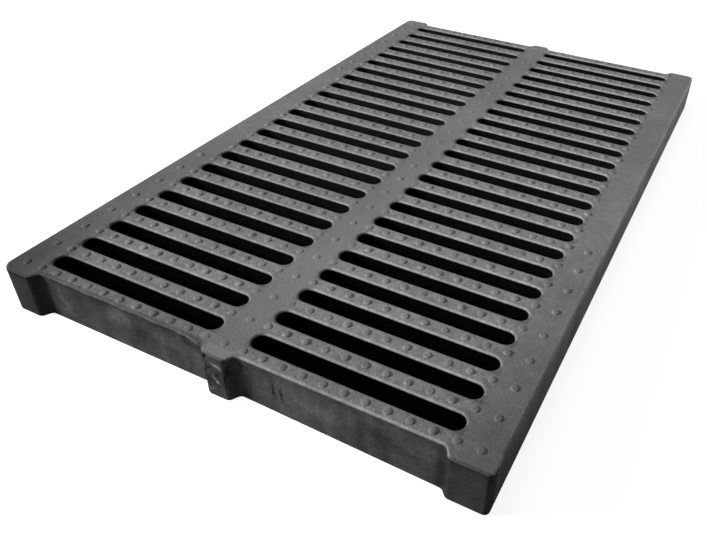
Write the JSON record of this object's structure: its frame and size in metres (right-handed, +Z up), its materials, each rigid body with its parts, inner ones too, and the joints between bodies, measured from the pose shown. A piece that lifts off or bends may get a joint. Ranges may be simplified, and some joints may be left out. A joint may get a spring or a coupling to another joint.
{
  "type": "gully grate",
  "caption": "Flat rectangular drain grate: a moulded slab with long slots, anti-slip studs on its bars and centring lugs on both short ends.",
  "frame": {"origin": "middle of the underside, on the surface that the grate rests on", "axes": "+X across the grate along its slots, +Y along its length over the rows of slots, +Z up to the walked-on face"},
  "size_m": [0.45, 0.75, 0.045],
  "materials": {
    "moulded_composite": "as-moulded dark grey resin composite, satin, faintly clouded"
  },
  "bodies": {
    "root": {"grate": "moulded_composite"}
  },
  "joints": []
}
